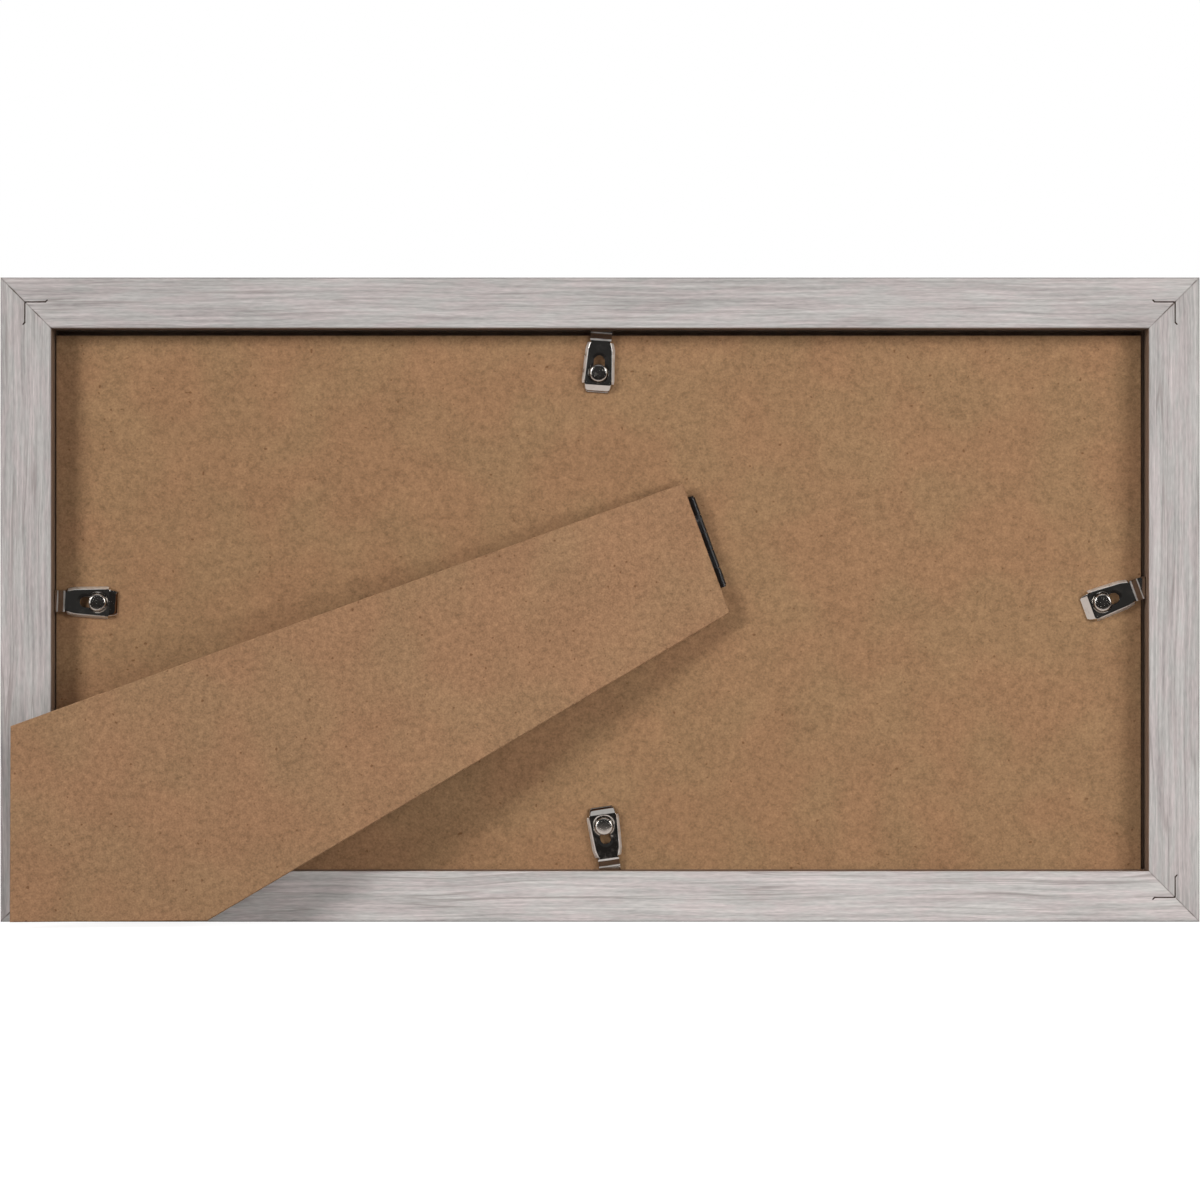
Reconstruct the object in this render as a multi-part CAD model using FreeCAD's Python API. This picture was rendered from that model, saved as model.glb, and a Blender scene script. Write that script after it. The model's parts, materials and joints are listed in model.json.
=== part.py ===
import FreeCAD, Part
import math
import os

from FreeCAD import Vector

# A small landscape photo frame seen from its back: four mitred rails hold a pane, a bare
# insert sheet and a back board. Four sliding clips on rivets hold the board, and a hinged
# leg lets the frame stand. X runs along the width, Z is up, and the back faces -Y.
# The origin is the middle of the bottom rail's underside. All lengths are millimetres.

# Frame rails
opening_width = 304.0
opening_height = 150.4
rail_width = 14.0
rail_depth = 18.0
lip_thickness = 5.0
lip_reach = 5.0
rail_edge_bevel = 0.3
lip_edge_bevel = 1.2

# Groove in the wall of the opening, which takes the tips of the clips
groove_width = 2.2
groove_lift = 0.15
groove_spare = 0.8

# Corner wedges driven across the mitres from the back
wedge_inset = 6.6
wedge_wing = 5.8
wedge_hook = 0.8
wedge_strip = 0.35
wedge_length = 10.0

# Layers that lie in the opening
pane_thickness = 2.0
pane_play = 1.0
insert_thickness = 0.3
board_thickness = 2.5
board_play = 1.6
board_left_gap = 0.4

# Clip rivets: how far each stands from the wall of its rail, and the bottom one's drift
rivet_reach = 12.1
rivet_drift_bottom = 1.5
rivet_shank_radius = 1.3
rivet_collar_radius = 2.1
rivet_head_radius = 2.5
rivet_head_rim = 0.15
rivet_head_height = 1.3
rivet_flange_radius = 2.8
rivet_flange_thickness = 0.7

# Clips: lengths run from the rivet, towards the tip or towards the tail
clip_strip = 0.5
clip_height = 2.0
clip_tail_reach = 5.4
clip_tail_width = 6.9
clip_bend_reach = 3.3
clip_bend_width = 7.5
clip_waist_reach = 2.5
clip_waist_width = 9.1
clip_shoulder_reach = 6.6
clip_shoulder_width = 8.3
clip_ear_reach = 8.5
clip_splay = 0.7
clip_step_run = 1.9
clip_step_gap = 0.9
clip_tip_hold = 2.0
clip_tip_width = 5.9
clip_tip_bevel = 0.7
clip_dish_radius = 3.3
clip_slot_dish_radius = 2.4
clip_dish_slope = 0.5
clip_dish_depth = 0.2
clip_hole_radius = 2.2
clip_slot_radius = 1.5
clip_travel = 3.4

# How far each clip is turned from square to its rail, in degrees
clip_lean_top = -4.0
clip_lean_bottom = 8.0
clip_lean_left = -2.0
clip_lean_right = 20.0

# Leg hinge: its middle from the middle of the opening, and its lean from upright
hinge_offset_x = 29.8
hinge_offset_z = 16.1
hinge_lean = 20.0
hinge_length = 26.0
hinge_strip = 0.5
hinge_pin_radius = 0.5
hinge_pin_head_radius = 0.85
hinge_pin_head_length = 0.4
hinge_leaf_reach = 12.0
hinge_knuckles = 5
hinge_prong_width = 2.5
hinge_prong_skin = 0.7
hinge_prong_reach = 8.0
hinge_prong_spread = 8.5

# Leg: lengths run along it from the hinge, and heights across it from the hinge's middle
leg_thickness = 2.5
leg_end_gap = 0.3
leg_upper_half = 17.5
leg_lower_half = 20.7
leg_flare = 10.3
leg_foot_lift = 1.1
leg_side_inset = 4.1
leg_edge_bevel = 0.25
leg_rest_angle = 7.5

# Clearances
running_gap = 0.05
sliding_gap = 0.1
knuckle_gap = 0.15
leaf_notch_gap = 0.3
overrun = 1.0

# Worked out from the sizes above
frame_width = opening_width + 2 * rail_width
frame_height = opening_height + 2 * rail_width
rail_face = rail_width + lip_reach
front_y = rail_depth / 2
middle_z = frame_height / 2
pane_depth = lip_thickness
insert_depth = pane_depth + pane_thickness
board_depth = insert_depth + insert_thickness
recess_floor = board_depth + board_thickness
board_width = opening_width - board_play
board_height = opening_height - board_play
board_left = -opening_width / 2 + board_left_gap
board_bottom = rail_width
clip_step_reach = rivet_reach - clip_step_gap
clip_neck_reach = clip_step_reach - clip_step_run
clip_tip_reach = rivet_reach + clip_tip_hold
clip_tip_height = groove_lift + (groove_width + clip_strip) / 2
clip_cup_low = clip_height - clip_strip - clip_dish_depth
rivet_collar_height = clip_cup_low - 2 * sliding_gap
groove_depth = math.hypot(clip_tip_reach, clip_tip_width / 2) - rivet_reach + groove_spare
barrel_radius = hinge_pin_radius + running_gap + hinge_strip
hinge_axis_height = barrel_radius + knuckle_gap
leg_underside = hinge_axis_height + barrel_radius
board_prong = board_thickness - hinge_prong_skin
leg_prong = leg_thickness - hinge_prong_skin


def face_of(points):
    """A flat face inside a closed outline."""
    return Part.Face(Part.makePolygon(points + points[:1]))


def slab(outline, low, high):
    """A plate over an outline of (x, y) pairs, from one height to another."""
    corners = [Vector(x, y, low) for x, y in outline]
    return face_of(corners).extrude(Vector(0, 0, high - low))


def block(x_from, x_to, y_from, y_to, z_from, z_to):
    """A box between two limits on each axis."""
    corner = Vector(x_from, y_from, z_from)
    return Part.makeBox(x_to - x_from, y_to - y_from, z_to - z_from, corner)


def tapered(low_outline, low, high_outline, high):
    """A closed shape between two outlines with the same number of corners."""
    wires = []
    for outline, height in ((low_outline, low), (high_outline, high)):
        corners = [Vector(x, y, height) for x, y in outline]
        wires.append(Part.makePolygon(corners + corners[:1]))
    return Part.makeLoft(wires, True, True)


def disc(radius, low, high, x=0.0):
    """A round plate standing on the local axis, or beside it."""
    return Part.makeCylinder(radius, high - low, Vector(x, 0, low))


def strip_outline(path, thickness):
    """The outline of a bent strip, whose left side runs along a path of (x, y) pairs."""
    offsets = []
    for index, point in enumerate(path):
        sides = []
        for start, end in ((index - 1, index), (index, index + 1)):
            if start >= 0 and end < len(path):
                run = Vector(path[end][0] - path[start][0], path[end][1] - path[start][1], 0)
                run.normalize()
                sides.append(Vector(run.y, -run.x, 0))
        normal = sides[0] + sides[-1]
        normal.normalize()
        reach = thickness / normal.dot(sides[0])
        offsets.append((point[0] + normal.x * reach, point[1] + normal.y * reach))
    return list(path) + offsets[::-1]


def placed(shape, origin, along, up):
    """Move a shape from local axes: x along, z up, and y square to both."""
    across = up.cross(along)
    matrix = FreeCAD.Matrix(
        along.x, across.x, up.x, origin.x,
        along.y, across.y, up.y, origin.y,
        along.z, across.z, up.z, origin.z,
        0, 0, 0, 1)
    copy = shape.copy()
    copy.transformShape(matrix)
    return copy


def on_board(shape, x, z, turn):
    """Set a shape on the back of the board, with its x axis turned up from +X."""
    angle = math.radians(turn)
    along = Vector(math.cos(angle), 0, math.sin(angle))
    return placed(shape, Vector(x, front_y - recess_floor, z), along, Vector(0, -1, 0))


def rail_section():
    """The rail's section: x from the outer side inwards, y from the front to the back."""
    edge = rail_edge_bevel
    groove_front = recess_floor + groove_lift
    groove_back = groove_front + groove_width
    return [
        (edge, 0), (rail_face - lip_edge_bevel, 0), (rail_face, lip_edge_bevel),
        (rail_face, lip_thickness), (rail_width, lip_thickness),
        (rail_width, groove_front), (rail_width - groove_depth, groove_front),
        (rail_width - groove_depth, groove_back), (rail_width, groove_back),
        (rail_width, rail_depth - edge), (rail_width - edge, rail_depth),
        (edge, rail_depth), (0, rail_depth - edge), (0, edge)]


def make_rail(length):
    """One rail lying along x with its outer side on y = 0, and mitred at both ends."""
    corners = [Vector(0, across, depth) for across, depth in rail_section()]
    bar = face_of(corners).extrude(Vector(length, 0, 0))
    mitred = [(0, 0), (length, 0), (length - rail_face, rail_face), (rail_face, rail_face)]
    return bar.common(slab(mitred, 0, rail_depth))


def make_rails():
    """The four rails, each placed from the corner where its length starts."""
    left = -frame_width / 2
    right = frame_width / 2
    places = {
        "rail_bottom": (frame_width, Vector(left, front_y, 0), Vector(1, 0, 0)),
        "rail_right": (frame_height, Vector(right, front_y, 0), Vector(0, 0, 1)),
        "rail_top": (frame_width, Vector(right, front_y, frame_height), Vector(-1, 0, 0)),
        "rail_left": (frame_height, Vector(left, front_y, frame_height), Vector(0, 0, -1))}
    rails = {}
    for name, (length, origin, along) in places.items():
        rails[name] = placed(make_rail(length), origin, along, Vector(0, -1, 0))
    return rails


def make_wedge():
    """A bent steel strip, with its outer corner at the local origin and hooked ends."""
    slant = wedge_hook * math.sqrt(0.5)
    path = [
        (wedge_wing + slant, -slant), (wedge_wing, 0), (0, 0),
        (0, wedge_wing), (-slant, wedge_wing + slant)]
    return slab(strip_outline(path, wedge_strip), -wedge_length, 0)


def make_wedges():
    """One wedge in the back of each corner, with its wings along the two rails."""
    left = wedge_inset - frame_width / 2
    right = frame_width / 2 - wedge_inset
    top = frame_height - wedge_inset
    back_y = front_y - rail_depth
    places = {
        "wedge_bottom_left": (left, wedge_inset, Vector(1, 0, 0)),
        "wedge_bottom_right": (right, wedge_inset, Vector(0, 0, 1)),
        "wedge_top_right": (right, top, Vector(-1, 0, 0)),
        "wedge_top_left": (left, top, Vector(0, 0, -1))}
    wedges = {}
    for name, (x, z, along) in places.items():
        wedges[name] = placed(make_wedge(), Vector(x, back_y, z), along, Vector(0, -1, 0))
    return wedges


def layer(left, width, height, depth, thickness):
    """A flat layer standing on the bottom of the opening."""
    back = front_y - depth - thickness
    return block(left, left + width, back, front_y - depth, rail_width, rail_width + height)


def clip_places():
    """Rivet centre and direction of the tip for each clip."""
    board_middle_x = board_left + board_width / 2
    board_middle_z = board_bottom + board_height / 2
    side_x = opening_width / 2 - rivet_reach
    top_z = frame_height - rail_width - rivet_reach
    bottom_x = board_middle_x + rivet_drift_bottom
    return {
        "top": (board_middle_x, top_z, 90 + clip_lean_top),
        "bottom": (bottom_x, rail_width + rivet_reach, -90 + clip_lean_bottom),
        "left": (-side_x, board_middle_z, 180 + clip_lean_left),
        "right": (side_x, board_middle_z, clip_lean_right)}


def make_rivet():
    """A shouldered rivet: flange in front, collar on the board, domed head over the clip."""
    flange_back = -board_thickness + running_gap + rivet_flange_thickness
    head_low = clip_height + running_gap
    head_top = head_low + rivet_head_height
    rim_top = head_low + rivet_head_rim
    rise = head_top - rim_top
    sphere_radius = (rivet_head_radius ** 2 + rise ** 2) / (2 * rise)
    half_angle = math.asin(rivet_head_radius / sphere_radius) / 2
    arc_middle = Vector(
        sphere_radius * math.sin(half_angle), 0,
        head_top - sphere_radius * (1 - math.cos(half_angle)))
    corners = [
        (0, flange_back - rivet_flange_thickness),
        (rivet_flange_radius, flange_back - rivet_flange_thickness),
        (rivet_flange_radius, flange_back), (rivet_shank_radius, flange_back),
        (rivet_shank_radius, running_gap), (rivet_collar_radius, running_gap),
        (rivet_collar_radius, rivet_collar_height), (rivet_shank_radius, rivet_collar_height),
        (rivet_shank_radius, head_low), (rivet_head_radius, head_low),
        (rivet_head_radius, rim_top)]
    steps = [Vector(radius, 0, height) for radius, height in corners]
    edges = [Part.LineSegment(a, b).toShape() for a, b in zip(steps, steps[1:])]
    crown = Vector(0, 0, head_top)
    edges.append(Part.Arc(steps[-1], arc_middle, crown).toShape())
    edges.append(Part.LineSegment(crown, steps[0]).toShape())
    return Part.Face(Part.Wire(edges)).revolve(Vector(0, 0, 0), Vector(0, 0, 1), 360)


def clip_section(height, inset):
    """The clip's tray in plan at one height, drawn in by a wall square to its flanges."""
    rise = clip_height - sliding_gap
    climb = (height - sliding_gap) / rise
    tail_run = clip_tail_reach - clip_bend_reach
    tail_inset = inset / math.sin(math.atan2(rise, tail_run))
    side_inset = inset / math.sin(math.atan2(rise, clip_splay))
    drawn_in = clip_splay * climb
    half = [
        (tail_run * climb + tail_inset - clip_tail_reach,
         (clip_tail_width + (clip_bend_width - clip_tail_width) * climb) / 2 - side_inset),
        (drawn_in - clip_waist_reach, clip_waist_width / 2 - drawn_in - side_inset),
        (clip_shoulder_reach, clip_shoulder_width / 2 - drawn_in - side_inset),
        (clip_ear_reach, clip_tip_width / 2 + clip_splay - drawn_in - side_inset)]
    return half + [(x, -y) for x, y in half[::-1]]


def clip_pan(inset, high):
    """The clip's tray from its flanges' feet up to its plate."""
    return tapered(
        clip_section(sliding_gap, inset), sliding_gap, clip_section(high, inset), high)


def clip_tongue():
    """The neck and the stepped tip, a bent strip that runs from the plate to the groove."""
    half = clip_tip_width / 2
    path = [
        (clip_ear_reach - clip_strip, clip_height), (clip_neck_reach, clip_height),
        (clip_step_reach, clip_tip_height), (clip_tip_reach, clip_tip_height)]
    side = [Vector(x, -clip_waist_width, z) for x, z in strip_outline(path, clip_strip)]
    bent = face_of(side).extrude(Vector(0, 2 * clip_waist_width, 0))
    plan_half = [
        (clip_ear_reach - clip_strip, half), (clip_tip_reach - clip_tip_bevel, half),
        (clip_tip_reach, half - clip_tip_bevel)]
    plan = plan_half + [(x, -y) for x, y in plan_half[::-1]]
    return bent.common(slab(plan, 0, clip_height))


def clip_dishes(low):
    """The dish pressed round both ends of the keyhole, from one height upwards."""
    dishes = []
    for x, radius in ((0, clip_dish_radius), (clip_travel, clip_slot_dish_radius)):
        floor_radius = radius - clip_dish_slope
        dishes.append(Part.makeCone(floor_radius, radius, clip_dish_depth, Vector(x, 0, low)))
    return dishes[0].fuse(dishes[1:])


def make_clip():
    """A pressed clip: flanged plate, slanted tail, stepped tip and a dished keyhole."""
    pan = clip_pan(0, clip_height)
    hollow = clip_pan(clip_strip, clip_height - clip_strip)
    cup = clip_dishes(clip_cup_low).common(pan)
    dish = clip_dishes(clip_height - clip_dish_depth)
    body = pan.cut(hollow).fuse([clip_tongue(), cup])
    hole = disc(clip_hole_radius, 0, clip_height)
    slot_end = disc(clip_slot_radius, 0, clip_height, clip_travel)
    slot = block(0, clip_travel, -clip_slot_radius, clip_slot_radius, 0, clip_height)
    return body.cut([dish, hole, slot_end, slot]).removeSplitter()


def knuckle_spans(fixed):
    """The stretches of the barrel that one of the two leaves carries."""
    pitch = hinge_length / hinge_knuckles
    spans = []
    for index in range(hinge_knuckles):
        if (index % 2 == 0) == fixed:
            start = index * pitch - hinge_length / 2
            spans.append((start + knuckle_gap / 2, start + pitch - knuckle_gap / 2))
    return spans


def barrel_rod(radius, start, end):
    """A round rod on the hinge axis, which runs along the local y axis."""
    return Part.makeCylinder(
        radius, end - start, Vector(0, start, hinge_axis_height), Vector(0, 1, 0))


def make_leaf(fixed):
    """One leaf: a strip, its rolled knuckles and two prongs, with the windows they leave."""
    if fixed:
        strip_low, strip_high = 0.0, hinge_strip
        prong_low, prong_high = -board_prong, hinge_strip
    else:
        strip_low, strip_high = leg_underside - hinge_strip, leg_underside
        prong_low, prong_high = strip_low, leg_underside + leg_prong
    half = hinge_length / 2
    notch = barrel_radius + leaf_notch_gap
    body = block(notch, hinge_leaf_reach, -half, half, strip_low, strip_high)
    for start, end in knuckle_spans(fixed):
        body = body.fuse(block(0, notch, start, end, strip_low, strip_high))
        body = body.fuse(barrel_rod(barrel_radius, start, end))
    for side in (-1, 1):
        middle = side * hinge_prong_spread
        y_from = middle - hinge_prong_width / 2
        y_to = middle + hinge_prong_width / 2
        window = block(
            hinge_prong_reach - leg_prong, hinge_prong_reach, y_from, y_to,
            strip_low, strip_high)
        prong = block(
            hinge_prong_reach, hinge_prong_reach + hinge_strip, y_from, y_to,
            prong_low, prong_high)
        body = body.cut(window).fuse(prong)
    bore = barrel_rod(hinge_pin_radius + running_gap, -half - overrun, half + overrun)
    return body.cut(bore).removeSplitter()


def prong_slots(low, high):
    """The slots that the prongs of a leaf have cut, with a running gap all round."""
    slots = []
    for side in (-1, 1):
        middle = side * hinge_prong_spread
        slots.append(block(
            hinge_prong_reach - running_gap,
            hinge_prong_reach + hinge_strip + running_gap,
            middle - hinge_prong_width / 2 - running_gap,
            middle + hinge_prong_width / 2 + running_gap, low, high))
    return slots


def make_pin():
    """The hinge pin with a peened head at each end."""
    half = hinge_length / 2
    pin = barrel_rod(hinge_pin_radius, -half, half)
    for start in (-half - hinge_pin_head_length, half):
        pin = pin.fuse(barrel_rod(hinge_pin_head_radius, start, start + hinge_pin_head_length))
    return pin.removeSplitter()


def leg_outline():
    """The leg lying shut: straight upper side, flared lower side, foot cut in two lines."""
    lean = math.radians(hinge_lean)
    foot_z = leg_foot_lift - middle_z - hinge_offset_z
    side_x = leg_side_inset - frame_width / 2 - hinge_offset_x
    start = barrel_radius + leg_end_gap
    flare = math.tan(math.radians(leg_flare))
    upper = -leg_upper_half
    # Along u and across v, a place stands at x = -u cos + v sin and z = -u sin - v cos.
    upper_u = (upper * math.sin(lean) - side_x) / math.cos(lean)
    corner_u = -side_x * math.cos(lean) - foot_z * math.sin(lean)
    corner_v = side_x * math.sin(lean) - foot_z * math.cos(lean)
    slope = flare * math.cos(lean) + math.sin(lean)
    lower_u = (-foot_z - math.cos(lean) * (leg_lower_half - flare * start)) / slope
    lower_v = leg_lower_half + flare * (lower_u - start)
    return [
        (start, upper), (upper_u, upper), (corner_u, corner_v), (lower_u, lower_v),
        (start, leg_lower_half)]


def make_leg():
    """The leg lying shut on the board, with bevelled outer edges and the prongs' slots."""
    outer = leg_underside + leg_thickness
    plate = slab(leg_outline(), leg_underside, outer)
    rim = [edge for edge in plate.Edges if min(v.Z for v in edge.Vertexes) > outer - running_gap]
    plate = plate.makeChamfer(leg_edge_bevel, rim)
    slot_end = leg_underside + leg_prong + running_gap
    return plate.cut(prong_slots(leg_underside, slot_end))


def on_hinge(shape, opened):
    """Set a piece of the hinge on the board, opened about the hinge axis by an angle."""
    turned = shape.copy()
    turned.rotate(Vector(0, 0, hinge_axis_height), Vector(0, -1, 0), opened)
    return on_board(turned, hinge_offset_x, middle_z + hinge_offset_z, 180 + hinge_lean)


def make_board():
    """The back board with the rivets' holes, their counterbores and the prongs' slots."""
    board = layer(board_left, board_width, board_height, board_depth, board_thickness)
    hole = disc(rivet_shank_radius + running_gap, -board_thickness, 0)
    counterbore = disc(
        rivet_flange_radius + sliding_gap, -board_thickness,
        -board_thickness + rivet_flange_thickness + 2 * running_gap)
    cuts = [on_board(hole.fuse(counterbore), *place) for place in clip_places().values()]
    for slot in prong_slots(-board_prong - running_gap, 0):
        cuts.append(on_hinge(slot, 0))
    return board.cut(cuts)


def make_parts():
    """Every piece at rest, by the name of its file."""
    parts = make_rails()
    wedges = make_wedges()
    for name in parts:
        parts[name] = parts[name].cut(list(wedges.values()))
    parts.update(wedges)
    pane_width = opening_width - pane_play
    pane_height = opening_height - pane_play
    parts["glass_pane"] = layer(
        -pane_width / 2, pane_width, pane_height, pane_depth, pane_thickness)
    parts["insert_sheet"] = layer(
        board_left, board_width, board_height, insert_depth, insert_thickness)
    parts["back_board"] = make_board()
    for side, place in clip_places().items():
        parts["rivet_" + side] = on_board(make_rivet(), *place)
        parts["clip_" + side] = on_board(make_clip(), *place)
    parts["hinge_fixed_leaf"] = on_hinge(make_leaf(True), 0)
    parts["hinge_moving_leaf"] = on_hinge(make_leaf(False), leg_rest_angle)
    parts["hinge_pin"] = on_hinge(make_pin(), 0)
    parts["easel_leg"] = on_hinge(make_leg(), leg_rest_angle)
    return parts


def main():
    os.makedirs("parts", exist_ok=True)
    for name, shape in make_parts().items():
        shape.exportStep(os.path.join("parts", name + ".step"))
        box = shape.BoundBox
        print(f"{name}: {len(shape.Solids)} solid, valid {shape.isValid()}, "
              f"{box.XLength:.2f} x {box.YLength:.2f} x {box.ZLength:.2f} mm")


main()
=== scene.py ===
import bpy
import bmesh
import json
import math

from mathutils import Matrix, Vector


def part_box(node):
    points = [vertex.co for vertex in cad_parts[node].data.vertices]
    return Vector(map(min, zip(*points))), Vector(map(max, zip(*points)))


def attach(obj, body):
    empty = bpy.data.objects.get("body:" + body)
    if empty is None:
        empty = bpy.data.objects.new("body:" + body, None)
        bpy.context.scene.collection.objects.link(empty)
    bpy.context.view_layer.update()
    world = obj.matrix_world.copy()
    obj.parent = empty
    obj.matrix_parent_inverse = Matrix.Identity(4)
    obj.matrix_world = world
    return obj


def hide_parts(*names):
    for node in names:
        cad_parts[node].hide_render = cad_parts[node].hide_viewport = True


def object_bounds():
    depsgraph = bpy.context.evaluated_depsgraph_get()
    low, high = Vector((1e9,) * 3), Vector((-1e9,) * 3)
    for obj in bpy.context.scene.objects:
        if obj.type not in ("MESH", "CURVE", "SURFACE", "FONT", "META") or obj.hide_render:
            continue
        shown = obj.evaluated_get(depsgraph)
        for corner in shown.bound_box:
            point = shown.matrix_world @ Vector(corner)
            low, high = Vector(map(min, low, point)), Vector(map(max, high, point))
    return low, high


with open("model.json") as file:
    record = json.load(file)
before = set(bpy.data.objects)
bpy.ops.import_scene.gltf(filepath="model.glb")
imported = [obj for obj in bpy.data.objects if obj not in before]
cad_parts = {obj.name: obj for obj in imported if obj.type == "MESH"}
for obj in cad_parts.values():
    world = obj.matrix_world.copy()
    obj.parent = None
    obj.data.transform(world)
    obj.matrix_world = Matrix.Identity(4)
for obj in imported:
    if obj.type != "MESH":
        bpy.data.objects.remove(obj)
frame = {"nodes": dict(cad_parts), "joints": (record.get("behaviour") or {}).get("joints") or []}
cad_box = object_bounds()
box_low, box_high = (Vector(corner) for corner in cad_box)

bl_info = {
    "name": "Photo Frame Back",
    "version": (1, 0, 0),
    "blender": (4, 5, 0),
    "location": "View3D > Sidebar > Photo Frame",
    "description": "Dresses a small photo frame that is seen from its back",
    "category": "Object",
}

SIDES = ("top", "bottom", "left", "right")
IN = "INPUT"
OUT = "OUTPUT"
REST_DEGREES = 7.5  # between the back board and the leg
FLOOR_HALF = 3.0
FIELD_WIDTH = 0.3322  # of the view, at the rails' back
SENSOR_WIDTH = 36.0
NEAREST = 0.01  # that the camera sees
VIEW_DROP = 0.0001  # of the camera below the frame's middle
BEND_STEPS = 5
CORNER_STEPS = 4
GLEAM_FADE = 0.00012  # over which the painted highlight on a flange thins out towards the plate
CROWN = 0.93  # of the dome's radius that is nearly flat
BROW = 0.86  # of the dome's height that is nearly upright

# Soft windows that bright metal mirrors: direction, edge and full part of the cosine, level
WINDOWS = (
    ((-1.10, -1.00, 0.60), 0.990, 0.995, 12.0), ((1.05, -1.00, 0.60), 0.990, 0.995, 12.0),
    ((-1.10, -1.00, 0.25), 0.980, 0.990, 1.5), ((1.22, -1.00, 0.26), 0.990, 0.996, 4.0),
    ((-1.25, -1.00, -0.15), 0.975, 0.985, 4.0),
    ((-0.87, -0.38, -0.34), 0.93, 0.97, 0.75), ((-0.97, -0.10, -0.22), 0.984, 0.992, 2.5),
    ((0.99, -0.10, -0.06), 0.990, 0.996, 2.5), ((0.0, -0.36, 0.93), 0.88, 0.93, 0.60))


# Settings that a user may change

def length(name, description, default):
    """A length setting in metres."""
    return bpy.props.FloatProperty(
        name=name, description=description, default=default, min=0.0, precision=5,
        subtype="DISTANCE", unit="LENGTH")


def share(name, description, default):
    """A setting between nothing and all."""
    return bpy.props.FloatProperty(
        name=name, description=description, default=default, min=0.0, max=1.0,
        subtype="FACTOR")


def light(level):
    """The linear value of a screen value between 0 and 255."""
    part = level / 255
    if part <= 0.04045:
        return part / 12.92
    return ((part + 0.055) / 1.055) ** 2.4


def paint(red, green, blue):
    """The linear colour of three screen values between 0 and 255."""
    return light(red), light(green), light(blue)


def colour(name, description, red, green, blue):
    """A colour setting whose default is given in screen values."""
    return bpy.props.FloatVectorProperty(
        name=name, description=description, default=paint(red, green, blue), size=3,
        min=0.0, max=1.0, subtype="COLOR")


class RailLook(bpy.types.PropertyGroup):
    """Colours of the rails' wood-look foil and of the fibreboard under it."""
    warm: colour("Warm grain", "Pinkish grey of the foil", 190, 181, 179)
    cool: colour("Cool grain", "Greenish grey of the foil", 186, 182, 179)
    line: colour("Grain lines", "Thin dark lines in the foil", 150, 140, 137)
    core: colour("Core", "Bare fibreboard inside the opening", 120, 98, 82)
    seam: colour("Mitre seam", "Dark line where two rails meet", 72, 55, 44)
    roughness: share("Roughness", "Roughness of the foil", 0.5)
    wall_inset: length("Wall inset", "From the outer sides to where the core may be bare", 0.006)
    face_depth: length("Face depth", "From the board's back to the rails' back face", 0.0082)
    bare_back: length("Bare from", "Back end of the bare core, from the board's back", 0.00868)
    bare_front: length("Bare to", "Front end of the bare core, from the board's back", 0.0041)


class BoardLook(bpy.types.PropertyGroup):
    """Colours of the hardboard of the back and of the leg."""
    back: colour("Back board", "Smooth face of the back board", 155, 121, 90)
    leg: colour("Leg", "Smooth face of the leg", 158, 123, 93)
    fleck: colour("Flecks", "Dark fibres in the hardboard", 112, 76, 52)
    roughness: share("Roughness", "Roughness of the smooth face", 0.62)


class ClipSizes(bpy.types.PropertyGroup):
    """Sizes of the pressed clips, from the rivet towards the tip or the tail."""
    strip: length("Strip", "Thickness of the steel strip", 0.0005)
    height: length("Height", "From the board to the top of the plate", 0.0020)
    lift: length("Lift", "Gap between the board and the flanges", 0.0001)
    tail_lift: length("Tail lift", "Gap between the board and the tail's end", 0.0005)
    bend: length("Bend radius", "Outer radius of each bend", 0.00055)
    tail_reach: length("Tail reach", "End of the slanted tail", 0.0054)
    tail_half: length("Tail half width", "Half the tail's width at its end", 0.00345)
    tail_bend: length("Tail bend", "Where the tail starts to slant", 0.0033)
    bend_half: length("Bend half width", "Half the tail's width at its bend", 0.00375)
    waist_reach: length("Waist reach", "Widest place of the clip", 0.0025)
    waist_half: length("Waist half width", "Half the widest width", 0.00455)
    shoulder_reach: length("Shoulder reach", "Where the sides draw in", 0.0066)
    shoulder_half: length("Shoulder half width", "Half the width there", 0.00415)
    ear_reach: length("Ear reach", "Front end of the flanges", 0.0085)
    splay: length("Splay", "How far the flanges spread on their way down", 0.0007)
    neck_reach: length("Neck reach", "Where the tongue steps down", 0.0093)
    step_reach: length("Step reach", "Where the tip runs on level", 0.0112)
    tip_reach: length("Tip reach", "End of the tip", 0.0141)
    tip_half: length("Tip half width", "Half the tongue's width", 0.00295)
    tip_height: length("Tip height", "From the board to the top of the tip", 0.0015)
    tip_bevel: length("Tip bevel", "Cut of the tip's corners", 0.0007)
    dish: length("Dish radius", "Edge of the dish round the wide end", 0.0033)
    slot_dish: length("Slot dish radius", "Edge of the dish round the narrow end", 0.0024)
    dish_slope: length("Dish slope", "Width of the dish's sloped edge", 0.0009)
    dish_depth: length("Dish depth", "How deep the dish is pressed", 0.0002)
    hole: length("Hole radius", "Wide end of the keyhole", 0.0022)
    slot: length("Slot radius", "Narrow end of the keyhole", 0.0015)
    travel: length("Travel", "From the wide end to the narrow end", 0.0034)
    top_corner: length("Top corner", "Rounding of the plate's corners", 0.0005)
    foot_corner: length("Foot corner", "Rounding of the corners by the board", 0.0006)
    step_bend: length("Step bend", "Radius of the tongue's two bends", 0.0009)
    cut_edge: length("Cut edge", "Rounding of the strip's cut edges", 0.00005)
    # The last five sizes place the painted highlight: a rougher, lighter, less metallic band on
    # the bends and flanges
    neck_gleam: length("Neck shine", "Half width of the scuff on the first bend", 0.00035)
    step_gleam: length("Step shine", "Half width of the scuff on the second bend", 0.00025)
    side_gleam: length("Side shine", "From the middle to the gleaming flanges", 0.0028)
    tail_gleam: length("Tail shine", "From the tail's bend to the gleaming flanges", 0.0004)
    top_gleam: length("Top shine", "From the plate's top down to the scuff", 0.00002)


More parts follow.
